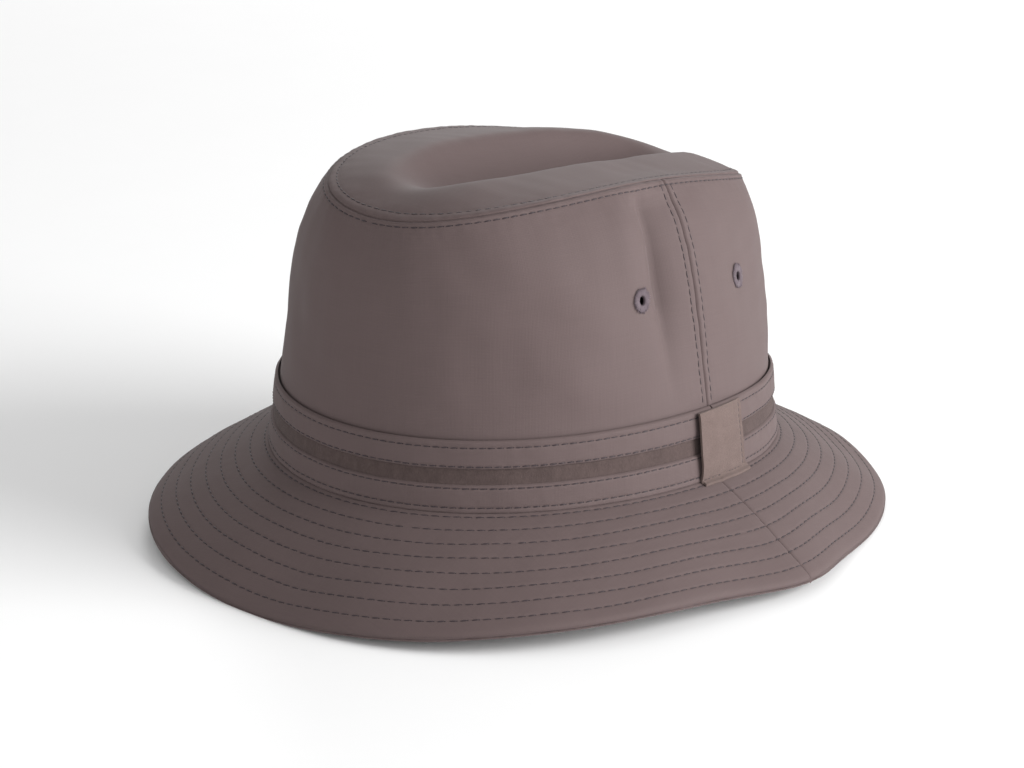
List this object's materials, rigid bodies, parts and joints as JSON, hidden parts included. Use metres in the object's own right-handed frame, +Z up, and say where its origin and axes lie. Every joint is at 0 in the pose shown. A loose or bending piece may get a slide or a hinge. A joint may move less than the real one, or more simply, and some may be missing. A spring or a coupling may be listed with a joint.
{
  "type": "fabric hat",
  "caption": "Soft cut-and-sewn hat with a creased crown, a fabric hatband with a side tab, eyelets and a stitched turned-down brim.",
  "frame": {"origin": "under the middle of the hat's box, on the surface it stands on", "axes": "+Z up through the crown, -Y towards the front of the hat, +X towards the wearer's left, where the label tab is"},
  "size_m": [0.2604, 0.2918, 0.14],
  "materials": {
    "shell_cloth": "matt woven",
    "ribbon": "ribbed weave",
    "tab_suede": "suede",
    "eyelet_thread": "embroidered",
    "lining_cloth": "smooth weave",
    "sweatband_cloth": "knitted",
    "seam_tape": "twill",
    "stiffener": "felted"
  },
  "bodies": {
    "root": {"base_seam_tape": "seam_tape", "brim_stiffener_back": "stiffener", "brim_stiffener_front": "stiffener", "brim_top_back": "shell_cloth", "brim_top_front": "shell_cloth", "brim_under_back": "shell_cloth", "brim_under_front": "shell_cloth", "crown_side_back": "shell_cloth", "crown_side_front": "shell_cloth", "crown_tip": "shell_cloth", "eyelet_left_back": "eyelet_thread", "eyelet_left_front": "eyelet_thread", "eyelet_right_back": "eyelet_thread", "eyelet_right_front": "eyelet_thread", "hatband_lower_strip": "shell_cloth", "hatband_tape": "ribbon", "hatband_upper_strip": "shell_cloth", "label_tab": "tab_suede", "lining_side_back": "lining_cloth", "lining_side_front": "lining_cloth", "lining_tip": "lining_cloth", "side_seam_tape_left": "seam_tape", "side_seam_tape_right": "seam_tape", "size_label": "seam_tape", "sweatband": "sweatband_cloth", "sweatband_join_tape": "seam_tape"}
  },
  "joints": []
}
